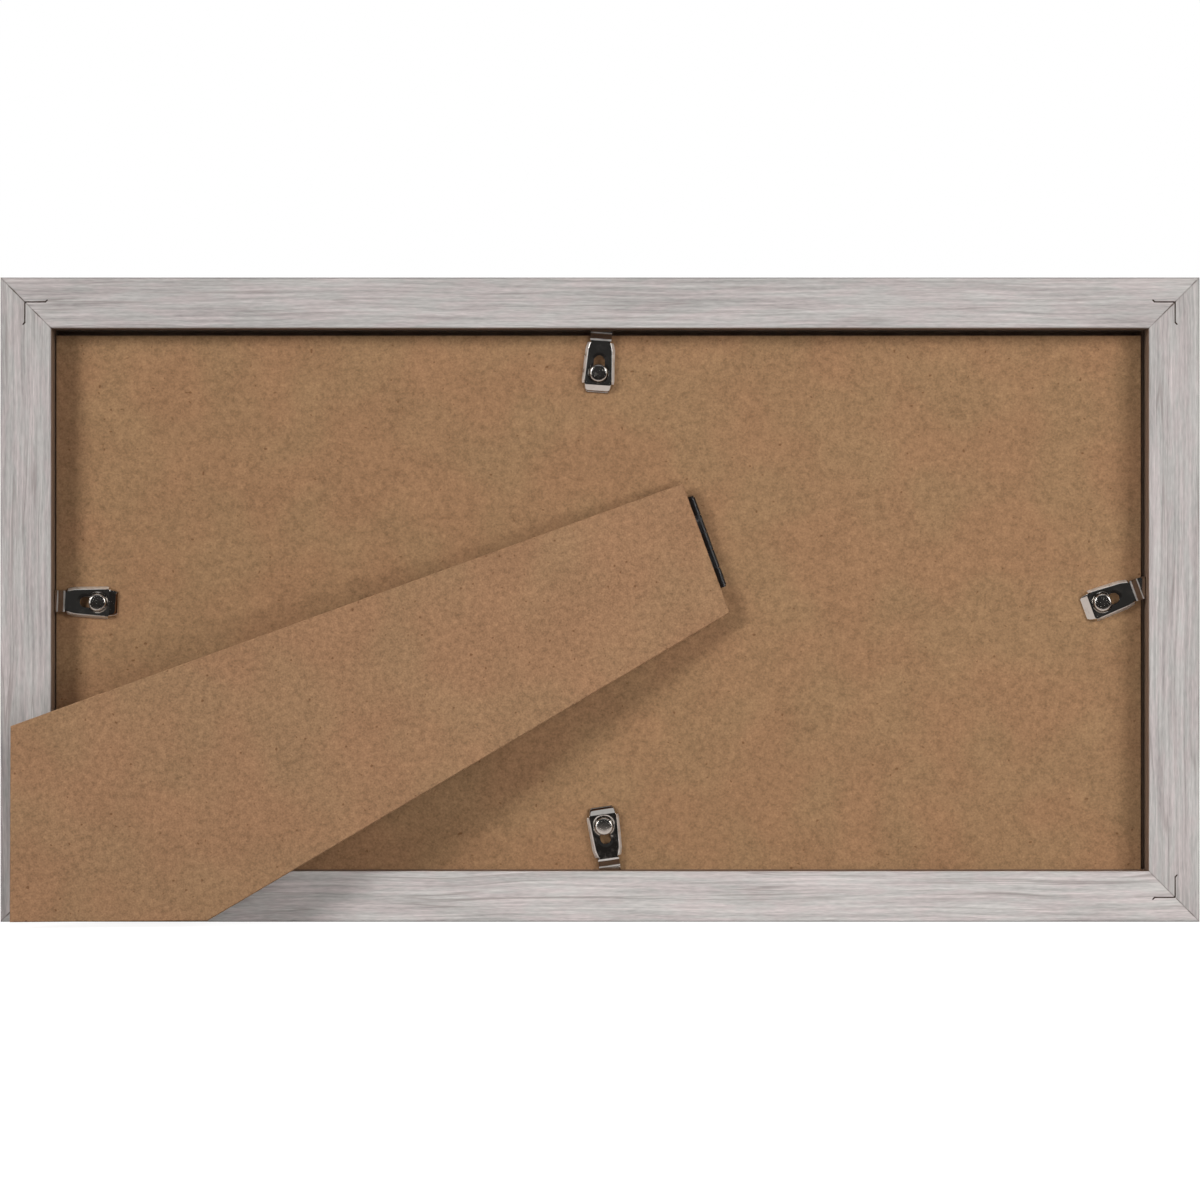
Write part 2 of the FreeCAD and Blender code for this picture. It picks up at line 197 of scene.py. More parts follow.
class RivetSizes(bpy.types.PropertyGroup):
    """Sizes of the rivets that hold the clips."""
    head_radius: length("Head radius", "Radius of the domed head", 0.0025)
    head_low: length("Head underside", "From the board to the head", 0.00205)
    head_rim: length("Head rim", "Height of the head's rim", 0.0002)
    head_top: length("Head top", "From the board to the crown", 0.00335)
    shank: length("Shank radius", "Radius of the shank", 0.0013)
    collar: length("Collar radius", "Radius of the collar on the board", 0.0021)
    collar_low: length("Collar underside", "Gap between collar and board", 0.00005)
    collar_top: length("Collar top", "From the board to the collar's top", 0.0011)
    flange: length("Flange radius", "Radius of the flange in front", 0.0028)
    flange_back: length("Flange depth", "From the board's face to the flange", 0.00175)
    flange_front: length("Flange front", "From the board's face to its front", 0.00245)


class WedgeSizes(bpy.types.PropertyGroup):
    """Sizes of the V-shaped wedges that hold the mitres."""
    inset: length("Inset", "From the rails' outer sides to the wedge", 0.0066)
    wing: length("Wing", "Length of each wing", 0.0058)
    hook: length("Hook", "Length of the hooked ends", 0.0008)
    strip: length("Strip", "Thickness of the strip", 0.00035)
    depth: length("Depth", "How deep the wedge is driven", 0.0100)
    corner: length("Corner radius", "Rounding of the bends", 0.0006)


class MetalLook(bpy.types.PropertyGroup):
    """Colours of the small metal pieces."""
    nickel: colour("Nickel", "Plating of the clips and rivets", 205, 200, 194)
    smudge: share("Smudges", "How much the plating is smudged", 0.25)
    gloss: share("Clip roughness", "Roughness of the clips' clean plating", 0.06)
    rubbed: share("Rivet roughness", "Roughness of the rivets' rubbed heads", 0.22)
    hinge: colour("Hinge", "Black paint of the hinge", 30, 29, 30)
    wedge: colour("Wedge", "Dark steel of the corner wedges", 70, 58, 50)


class StageLook(bpy.types.PropertyGroup):
    """The camera's distance and the part of the light that each lamp gives."""
    distance: length("Camera distance", "From the rails' back to the camera", 1.1)
    left: share("Left lamp", "Share of the soft lamp at the upper left", 0.37)
    right: share("Right lamp", "Share of the soft lamp at the upper right", 0.345)
    low: share("Low lamp", "Share of the weak lamp at the lower right", 0.22)
    ambient: share("Ambient", "Even light from the side of the camera", 0.01)
    front: share("Front lamp", "Share of the soft lamp before the pane", 0.45)
    room: share("Room", "Light of the room behind the frame", 0.6)


SETTINGS = {
    "rail_look": RailLook,
    "board_look": BoardLook,
    "clip_sizes": ClipSizes,
    "rivet_sizes": RivetSizes,
    "wedge_sizes": WedgeSizes,
    "metal_look": MetalLook,
    "stage_look": StageLook,
}


# Nodes written as expressions

class Signal:
    """A node's output that plain arithmetic can use: each operation adds a Math node."""

    def __init__(self, sheet, source):
        self.sheet = sheet
        self.source = source

    def math(self, operation, *operands):
        return self.sheet.node(
            "ShaderNodeMath", {"operation": operation}, dict(enumerate(operands)))

    def other(self, name):
        """Another output of the same node."""
        return Signal(self.sheet, self.source.node.outputs[name])

    def __add__(self, term):
        return self.math("ADD", self, term)

    def __sub__(self, term):
        return self.math("SUBTRACT", self, term)

    def __rsub__(self, term):
        return self.math("SUBTRACT", term, self)

    def __mul__(self, factor):
        return self.math("MULTIPLY", self, factor)

    def __gt__(self, limit):
        return self.math("GREATER_THAN", self, limit)

    def __lt__(self, limit):
        return self.math("LESS_THAN", self, limit)

    def __and__(self, mask):
        return self.math("MINIMUM", self, mask)

    def __or__(self, mask):
        return self.math("MAXIMUM", self, mask)

    def __abs__(self):
        return self.math("ABSOLUTE", self)

    __radd__ = __add__
    __rmul__ = __mul__


class Sheet:
    """A node tree that is filled one node at a time."""

    def __init__(self, tree):
        self.tree = tree

    def node(self, kind, settings=None, inputs=None, output=0):
        """Add a node with its settings, then the values or links of its sockets."""
        made = self.tree.nodes.new(kind)
        for name, value in (settings or {}).items():
            setattr(made, name, value)
        for name, value in (inputs or {}).items():
            if isinstance(value, Signal):
                self.tree.links.new(value.source, made.inputs[name])
            else:
                made.inputs[name].default_value = value
        if made.outputs:
            return Signal(self, made.outputs[output])
        return None

    def vector(self, operation, first, second):
        """Combine two vectors, or a vector and a constant one."""
        return self.node(
            "ShaderNodeVectorMath", {"operation": operation}, {0: first, 1: second})

    def along(self, place, direction, origin=(0, 0, 0)):
        """How far a place lies along a direction from an origin."""
        from_origin = self.vector("SUBTRACT", place, tuple(origin))
        return self.node(
            "ShaderNodeVectorMath", {"operation": "DOT_PRODUCT"},
            {0: from_origin, 1: tuple(direction)}, "Value")

    def joined(self, x, y, z):
        """A vector from three values."""
        return self.node("ShaderNodeCombineXYZ", None, {"X": x, "Y": y, "Z": z})

    def ramp(self, value, low, high, start=0.0, end=1.0):
        """A value that rises smoothly from start to end between two limits."""
        return self.node(
            "ShaderNodeMapRange", {"interpolation_type": "SMOOTHSTEP"},
            {"Value": value, "From Min": low, "From Max": high, "To Min": start, "To Max": end})

    def noise(self, place, scale, detail=2.0, roughness=0.5, distortion=0.0):
        """Soft noise between 0 and 1."""
        return self.node(
            "ShaderNodeTexNoise", None,
            {"Vector": place, "Scale": scale, "Detail": detail, "Roughness": roughness,
             "Distortion": distortion})

    def blend(self, mask, under, over, mode="MIX"):
        """Lay one colour over another where the mask says."""
        return self.node(
            "ShaderNodeMix", {"data_type": "RGBA", "blend_type": mode},
            {0: mask, 6: self.opaque(under), 7: self.opaque(over)}, 2)

    def tinted(self, base, strength):
        """A colour made lighter or darker by a value around 1."""
        scaled = self.joined(strength, strength, strength)
        return self.blend(1.0, base, scaled, "MULTIPLY")

    @staticmethod
    def opaque(shade):
        """A plain colour with its alpha, or a signal as it is."""
        if isinstance(shade, Signal):
            return shade
        return (*shade, 1.0)


class Finish(Sheet):
    """The node tree of a material."""

    def __init__(self, name):
        self.material = bpy.data.materials.new(name)
        self.material.use_nodes = True
        super().__init__(self.material.node_tree)
        self.tree.nodes.clear()
        self.place = self.node("ShaderNodeTexCoord", output="Object")

    def split(self, vector):
        """The three parts of a vector."""
        parts = self.node("ShaderNodeSeparateXYZ", None, {0: vector})
        return parts, parts.other("Y"), parts.other("Z")

    def bump(self, height, distance, strength=1.0):
        """A normal bent by a height."""
        return self.node(
            "ShaderNodeBump", None,
            {"Height": height, "Distance": distance, "Strength": strength})

    def close(self, values):
        """Add the surface shader and finish the material."""
        surface = self.node("ShaderNodeBsdfPrincipled", None, values)
        self.node("ShaderNodeOutputMaterial", None, {"Surface": surface})
        return self.material


class Generator(Sheet):
    """The node tree of a shape, with a named input for each of its sizes."""

    def __init__(self, name, group, sizes, others=()):
        super().__init__(bpy.data.node_groups.new(name, "GeometryNodeTree"))
        for entry in group.__annotations__:
            self.socket(entry, IN, "Float").default_value = getattr(sizes, entry)
        for entry in others:
            self.socket(entry, IN, "Float")
        self.socket("Finish", IN, "Material")
        self.socket("Geometry", OUT, "Geometry")
        self.given = self.node("NodeGroupInput")
        self.size = {entry: self.given.other(entry) for entry in group.__annotations__}

    def socket(self, name, side, kind):
        """A named input or output of the tree."""
        return self.tree.interface.new_socket(
            name, in_out=side, socket_type="NodeSocket" + kind)

    def close(self, shape):
        """Make the shape real and give it the finish."""
        real = self.node("GeometryNodeRealizeInstances", None, {0: shape})
        coated = self.node(
            "GeometryNodeSetMaterial", None,
            {"Geometry": real, "Material": self.given.other("Finish")})
        self.node("NodeGroupOutput", None, {0: coated})
        return self.tree


# Materials

def toned(base, red, green, blue):
    """A colour with each of its parts scaled."""
    return tuple(part * gain for part, gain in zip(base, (red, green, blue)))


def fibreboard_colour(sheet, place, base):
    """Raw fibreboard: fine fuzzy mottling."""
    fine = sheet.noise(place, 2600.0, 2.0, 0.7)
    broad = sheet.noise(place, 160.0, 1.0)
    return sheet.tinted(base, 0.62 + fine * 0.5 + broad * 0.26)


def foil_finish(name, look, lies_along_x, seed, painted_light_gain):
    """Wood-look foil whose grain runs along one rail, with the bare core in the opening."""
    sheet = Finish(name)
    x, y, z = sheet.split(sheet.place)
    run, across = (x, z) if lies_along_x else (z, x)
    shifted = across + seed

    def grain(stretch):
        return sheet.joined(run * stretch + seed * 3, shifted, y)

    sway = sheet.noise(grain(0.5), 26.0, 2.0)
    bent = sheet.joined(run * 0.022 + seed, shifted + sway * 0.005, y)
    patch = sheet.ramp(sheet.noise(grain(0.2), 330.0, 2.0, 0.6, 0.3), 0.38, 0.62)
    streak = sheet.noise(bent, 1250.0, 2.0, 0.6)
    fine = sheet.noise(grain(0.1), 3600.0, 1.0, 0.6)
    cloud = sheet.noise(grain(0.3), 90.0, 1.0)
    shade = sheet.blend(patch, look.cool, look.warm)
    level = streak * 0.95 + fine * 0.56 + cloud * 0.24 + 0.13
    # A rail's gain above 1 is painted light that brightens its whole foil
    shade = sheet.tinted(shade, level * painted_light_gain)
    contour = abs(sheet.noise(bent, 430.0, 1.0, 0.5) - 0.5)
    stretch_mask = sheet.ramp(sheet.noise(grain(0.12), 190.0, 1.0), 0.44, 0.60)
    line = (1.0 - sheet.ramp(contour, 0.0, 0.028)) & stretch_mask
    shade = sheet.blend(line * 0.6, shade, look.line)

    middle_z = (box_low.z + box_high.z) / 2
    half_x = (box_high.x - box_low.x) / 2
    half_z = (box_high.z - box_low.z) / 2
    from_side = half_x - abs(x)
    from_end = half_z - abs(z - middle_z)
    ragged = sheet.noise(sheet.place, 620.0, 1.0, 0.7)
    seam = 1.0 - sheet.ramp(
        abs(from_side - from_end), 0.00006, ragged * 0.0008 - 0.00004)
    depth = sheet.ramp(sheet.noise(sheet.place, 150.0, 1.0), 0.42, 0.58, 0.35, 0.9)
    shade = sheet.blend(seam * depth, shade, look.seam)
    # Painted shade: the back face is made up to 30 % darker within 0.6 mm of the outer sides,
    # where the foil rounds over the edge
    edge = 1.0 - sheet.ramp(from_side & from_end, 0.0, 0.0006)
    shade = sheet.tinted(shade, 1.0 - edge * (y < -look.face_depth) * 0.30)

    inside = (abs(x) < half_x - look.wall_inset) & (
        abs(z - middle_z) < half_z - look.wall_inset)
    bare = (y > -look.bare_back) & (y < look.bare_front) & inside
    core = fibreboard_colour(sheet, sheet.place, look.core)
    shade = sheet.blend(bare, shade, core)
    rough = look.roughness + bare * 0.35
    normal = sheet.bump(streak * 0.6 + fine * 0.3 - line * 0.8 - seam * 1.5, 0.00005, 0.6)
    return sheet.close({"Base Color": shade, "Roughness": rough, "Normal": normal})


def hardboard_finish(name, look, base, seed, dots, axes):
    """Smooth hardboard: mottled brown with dark fibres at all angles and small dots."""
    sheet = Finish(name)
    origin, u_axis, v_axis, w_axis = axes
    u = sheet.along(sheet.place, u_axis, origin)
    v = sheet.along(sheet.place, v_axis, origin)
    w = sheet.along(sheet.place, w_axis, origin)
    flat = sheet.joined(u + seed, v + seed * 2, w)
    mottle = sheet.noise(flat, 1900.0, 1.0, 0.6)
    grainy = sheet.noise(flat, 620.0, 2.0, 0.6)
    cloud = sheet.noise(flat, 70.0, 2.0, 0.55)
    hue = sheet.ramp(sheet.noise(flat, 45.0, 1.0), 0.35, 0.65)
    shade = sheet.blend(hue, toned(base, 1.015, 0.975, 0.965), toned(base, 0.985, 1.005, 0.985))
    shade = sheet.tinted(shade, mottle * 0.68 + grainy * 0.76 + cloud * 0.24 + 0.16)
    smudge = sheet.ramp(sheet.noise(flat, 480.0, 1.0), 0.66, 0.82)
    speck = sheet.ramp(sheet.noise(flat, 830.0, 0.0), 0.80 - dots, 0.88 - dots)
    shade = sheet.blend(smudge * 0.2 | speck * 0.7, shade, look.fleck)
    rough = look.roughness + mottle * 0.16
    normal = sheet.bump(mottle * 0.6 + grainy * 0.5, 0.00004, 0.6)
    return sheet.close(
        {"Base Color": shade, "Roughness": rough, "Normal": normal, "Specular IOR Level": 0.2})


def plating_finish(name, base, smudge, clean, bends=(), flanges=(), axes=None):
    """Bright nickel plating with faint smudges; its bends and flanges are painted a dull, light
    grey as a highlight.
    """
    sheet = Finish(name)
    blot = sheet.noise(sheet.place, 420.0, 2.0, 0.6)
    stain = sheet.ramp(blot, 0.5, 0.72)
    shade = sheet.blend(stain * smudge, base, toned(base, 0.80, 0.74, 0.70))
    rough = clean + stain * smudge * 0.25
    metal = 1.0 - stain * smudge * 0.1
    if bends:
        origin, tip, across, out = axes
        start, end, side, top = flanges
        reach = sheet.along(sheet.place, tip, origin)
        aside = abs(sheet.along(sheet.place, across, origin))
        height = sheet.along(sheet.place, out, origin)
        # Painted highlight: flanges and the tongue's two bends are made rougher, less metallic
        # and lighter, standing for the light they catch
        gleam = (reach > start) & (reach < end) & (aside > side)
        gleam = gleam & sheet.ramp(height, top, top - GLEAM_FADE)
        for place, half in bends:
            gleam = gleam | (1.0 - sheet.ramp(abs(reach - place), half * 0.5, half))
        gleam = gleam * sheet.ramp(blot, 0.25, 0.6, 0.5, 1.0)
        rough = rough | gleam * 0.5
        metal = metal - gleam * 0.55
        shade = sheet.blend(gleam, shade, (0.80, 0.77, 0.74))
    normal = sheet.bump(blot, 0.00001, 0.1)
    return sheet.close(
        {"Base Color": shade, "Metallic": metal, "Roughness": rough, "Normal": normal})


def black_paint_finish(name, base):
    """Black semi-gloss paint with dust and thin worn spots."""
    sheet = Finish(name)
    dust = sheet.noise(sheet.place, 1900.0, 3.0, 0.6)
    rub = sheet.ramp(sheet.noise(sheet.place, 650.0, 3.0, 0.7), 0.60, 0.72)
    worn = tuple(part * 4.0 + 0.06 for part in base)
    shade = sheet.blend(rub * 0.7, sheet.tinted(base, 0.7 + dust * 0.6), worn)
    rough = 0.26 + dust * 0.18 + rub * 0.15
    normal = sheet.bump(dust, 0.00003, 0.6)
    return sheet.close({"Base Color": shade, "Roughness": rough, "Normal": normal})


def dark_steel_finish(name, base):
    """Dark bare steel with brown stains."""
    sheet = Finish(name)
    stain = sheet.noise(sheet.place, 900.0, 3.0, 0.65)
    shade = sheet.blend(sheet.ramp(stain, 0.4, 0.7), base, toned(base, 0.85, 0.60, 0.45))
    rough = 0.45 + stain * 0.25
    return sheet.close({"Base Color": shade, "Metallic": 0.6, "Roughness": rough})


def glass_finish(name):
    """Clear float glass with the faintest dust, which lets light fall on what lies behind."""
    sheet = Finish(name)
    dust = sheet.noise(sheet.place, 300.0, 4.0, 0.7)
    rough = sheet.ramp(dust, 0.55, 0.9, 0.0, 0.06)
    shade = sheet.tinted((0.980, 0.990, 0.984), 0.99 + dust * 0.01)
    glass = sheet.node(
        "ShaderNodeBsdfPrincipled", None,
        {"Base Color": shade, "Roughness": rough, "IOR": 1.5, "Transmission Weight": 1.0})
    clear = sheet.node("ShaderNodeBsdfTransparent", None, {"Color": (0.975, 0.980, 0.977, 1.0)})
    rays = sheet.node("ShaderNodeLightPath", output="Is Shadow Ray")
    passing = rays | rays.other("Is Diffuse Ray")
    pane = sheet.node("ShaderNodeMixShader", None, {0: passing, 1: glass, 2: clear})
    sheet.node("ShaderNodeOutputMaterial", None, {"Surface": pane})
    return sheet.material


def card_finish(name):
    """Bare white card with fine paper tooth."""
    sheet = Finish(name)
    tooth = sheet.noise(sheet.place, 2200.0, 4.0, 0.7)
    cloud = sheet.noise(sheet.place, 55.0, 2.0)
    shade = sheet.tinted(paint(232, 230, 225), 0.95 + tooth * 0.05 + cloud * 0.04)
    normal = sheet.bump(tooth, 0.00003, 0.5)
    rough = 0.8 + tooth * 0.1
    return sheet.close({"Base Color": shade, "Roughness": rough, "Normal": normal})


def dress(node, material):
    """Give a CAD node one material."""
    slots = frame["nodes"][node].data.materials
    slots.clear()
    slots.append(material)


# Places that come from the frame

def joint(name):
    """A joint of the frame by its name."""
    return next(entry for entry in frame["joints"] if entry["name"] == name)


def board_place(side):
    """The matrix from a clip's own axes to its place on the back of the board."""
    low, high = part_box("rivet_" + side)
    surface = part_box("back_board")[0].y
    tip = Vector(joint(side + "_clip_slide")["axis"]).normalized()
    out = Vector((0, -1, 0))
    across = out.cross(tip)
    turn = Matrix((tip, across, out)).transposed().to_4x4()
    middle = (low + high) / 2
    return Matrix.Translation((middle.x, surface, middle.z)) @ turn


def hinge_axes():
    """Origin and directions of the leg: along it, down the hinge and out of its face."""
    hinge = joint("leg_hinge")
    origin = Vector(hinge["pos_m"])
    down = -Vector(hinge["axis"]).normalized()
    rest = math.radians(REST_DEGREES)
    shut = Vector((0, -1, 0)).cross(down) * -1
    along = shut * math.cos(rest) + Vector((0, -1, 0)) * math.sin(rest)
    return origin, along, down, along.cross(down)


# Pieces

def placed(name, data):
    """A new object in the scene."""
    item = bpy.data.objects.new(name, data)
    bpy.context.scene.collection.objects.link(item)
    return item


def finished(name, mesh, body, material, nodes):
    """Turn a mesh into a piece that rides on a body and stands for CAD nodes."""
    mesh.name = name
    piece = placed(name, mesh)
    mesh.materials.clear()
    mesh.materials.append(material)
    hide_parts(*nodes)
    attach(piece, body)
    return piece


def baked(holder):
    """The mesh that an object's modifiers give, with the object removed."""
    bpy.context.view_layer.update()
    graph = bpy.context.evaluated_depsgraph_get()
    mesh = bpy.data.meshes.new_from_object(holder.evaluated_get(graph))
    bpy.data.objects.remove(holder)
    return mesh


def round_edges(holder, width, angle):
    """Round the edges of an object that are sharper than an angle."""
    edges = holder.modifiers.new("rounded edges", "BEVEL")
    edges.width = width
    edges.segments = 2
    edges.limit_method = "ANGLE"
    edges.angle_limit = angle


def grown(tree, values):
    """The plain mesh that a generator makes from its named inputs."""
    holder = placed("holder", bpy.data.meshes.new("holder"))
    generator = holder.modifiers.new("generator", "NODES")
    generator.node_group = tree
    for entry in tree.interface.items_tree:
        if entry.in_out == IN and entry.name in values:
            generator[entry.identifier] = values[entry.name]
    return baked(holder)


def rivet_generator(sizes):
    """A turned rivet: domed head, shank, collar, shank and flange round one axis."""
    sheet = Generator("turned rivet", RivetSizes, sizes)
    size = sheet.size
    ring = 0.001

    def point(radius, height):
        return sheet.joined(radius - ring, height * -1.0, 0.0)

    head, low, top = size["head_radius"], size["head_low"], size["head_top"]
    rim = low + size["head_rim"]
    nothing = head * 0.0
    curves = [sheet.node(
        "GeometryNodeCurvePrimitiveBezierSegment", {"mode": "POSITION"},
        {"Resolution": 18, "Start": point(nothing, top),
         "Start Handle": point(head * CROWN, top),
         "End Handle": point(head, rim + (top - rim) * BROW), "End": point(head, rim)})]
    corners = [
        (head, rim), (head, low), (size["shank"], low), (size["shank"], size["collar_top"]),
        (size["collar"], size["collar_top"]), (size["collar"], size["collar_low"]),
        (size["shank"], size["collar_low"]), (size["shank"], size["flange_back"] * -1.0),
        (size["flange"], size["flange_back"] * -1.0),
        (size["flange"], size["flange_front"] * -1.0), (nothing, size["flange_front"] * -1.0)]
    for start, end in zip(corners, corners[1:]):
        curves.append(sheet.node(
            "GeometryNodeCurvePrimitiveLine", None,
            {"Start": point(*start), "End": point(*end)}))
    profile = sheet.node("GeometryNodeJoinGeometry")
    for curve in reversed(curves):
        sheet.tree.links.new(curve.source, profile.source.node.inputs[0])
    circle = sheet.node(
        "GeometryNodeCurvePrimitiveCircle", None, {"Resolution": 56, "Radius": ring})
    turned = sheet.node(
        "GeometryNodeCurveToMesh", None, {"Curve": circle, "Profile Curve": profile})
    merged = sheet.node(
        "GeometryNodeMergeByDistance", None, {"Geometry": turned, "Distance": 0.000002})
    return sheet.close(merged)


def wedge_generator(sizes):
    """A driven wedge: a strip bent to a V with hooked ends, repeated in four corners."""
    sheet = Generator("corner wedges", WedgeSizes, sizes, ("Width", "Height", "Back"))
    size, given = sheet.size, sheet.given
    half = size["strip"] * 0.5
    end = size["wing"]
    slant = size["hook"] * math.sqrt(0.5)
    nothing = half * 0.0
    corners = [
        (end + slant, half - slant), (end, half), (half, half), (half, end),
        (half - slant, end + slant)]
    points = sheet.node("GeometryNodeMeshLine", {"mode": "OFFSET"}, {"Count": 5})
    index = sheet.node("GeometryNodeInputIndex")
    spots = sheet.joined(nothing, nothing, nothing)
    for number, (x, z) in enumerate(corners):
        is_here = sheet.node(
            "FunctionNodeCompare", {"data_type": "INT", "operation": "EQUAL"},
            {2: index, 3: number})
        spots = sheet.node(
            "GeometryNodeSwitch", {"input_type": "VECTOR"},
            {"Switch": is_here, "False": spots, "True": sheet.joined(x, z, nothing)})
    placed = sheet.node("GeometryNodeSetPosition", None, {0: points, "Position": spots})
    curve = sheet.node("GeometryNodeMeshToCurve", None, {0: placed})
    rounded = sheet.node(
        "GeometryNodeFilletCurve", {"mode": "POLY"},
        {"Curve": curve, "Count": 5, "Radius": size["corner"], "Limit Radius": True})
    section = sheet.node(
        "GeometryNodeCurvePrimitiveQuadrilateral", {"mode": "RECTANGLE"},
        {"Width": size["strip"], "Height": size["depth"]})
    strip = sheet.node(
        "GeometryNodeCurveToMesh", None,
        {"Curve": rounded, "Profile Curve": section, "Fill Caps": True})
    upright = sheet.node(
        "GeometryNodeTransform", None,
        {"Geometry": strip, "Rotation": (math.pi / 2, 0.0, 0.0)})
    depth = given.other("Back") + size["depth"] * 0.5
    right = given.other("Width") * 0.5 - size["inset"]
    high = given.other("Height") - size["inset"]
    left = right * -1.0
    places = [
        (left, size["inset"], 0.0), (right, size["inset"], -math.pi / 2),
        (right, high, math.pi), (left, high, math.pi / 2)]
    corner_set = sheet.node("GeometryNodeJoinGeometry")
    for x, z, turn in places:
        spun = sheet.node(
            "GeometryNodeTransform", None,
            {"Geometry": upright, "Rotation": (0.0, turn, 0.0),
             "Translation": sheet.joined(x, depth, z)})
        sheet.tree.links.new(spun.source, corner_set.source.node.inputs[0])
    return sheet.close(corner_set)


def outline_points(corners, radius, steps):
    """An open path of (x, y) corners with rounded inner corners and even steps."""
    path = [Vector(corner) for corner in corners]
    points = []
    start = path[0]
    for index in range(1, len(path)):
        last = index == len(path) - 1
        run = (path[index] - path[index - 1]).normalized()
        stop = path[index] if last else path[index] - run * radius
        count = steps[index - 1]
        for step in range(count):
            points.append(start.lerp(stop, step / count))
        if last:
            points.append(stop)
        else:
            ahead = (path[index + 1] - path[index]).normalized()
            start = path[index] + ahead * radius
            for step in range(CORNER_STEPS):
                part = step / CORNER_STEPS
                first = stop.lerp(path[index], part)
                second = path[index].lerp(start, part)
                points.append(first.lerp(second, part))
    return points


def bend_profile(run, drop, radius):
    """Offsets and drops from a level plate round a bend and down a slope."""
    angle = math.atan2(drop, run)
    setback = radius * math.tan(angle / 2)
    profile = []
    for step in range(BEND_STEPS + 1):
        part = angle * step / BEND_STEPS
        profile.append((radius * math.sin(part) - setback, radius * (1 - math.cos(part))))
    profile.append(((run + profile[-1][0]) / 2, (drop + profile[-1][1]) / 2))
    profile.append((run, drop))
    return profile


def keyhole_edge(sizes, centre, direction):
    """Where a ray from inside the keyhole meets its edge."""
    reach = 0.0
    for middle, radius in ((0.0, sizes.hole), (sizes.travel, sizes.slot)):
        offset = Vector((centre.x - middle, centre.y))
        along = offset.dot(direction)
        room = along * along - offset.length_squared + radius * radius
        if room > 0:
            reach = max(reach, math.sqrt(room) - along)
    if abs(direction.y) > 1e-6:
        side = sizes.slot / abs(direction.y)
        x = centre.x + side * direction.x
        if 0 <= x <= sizes.travel:
            reach = max(reach, side)
    return centre + direction * reach


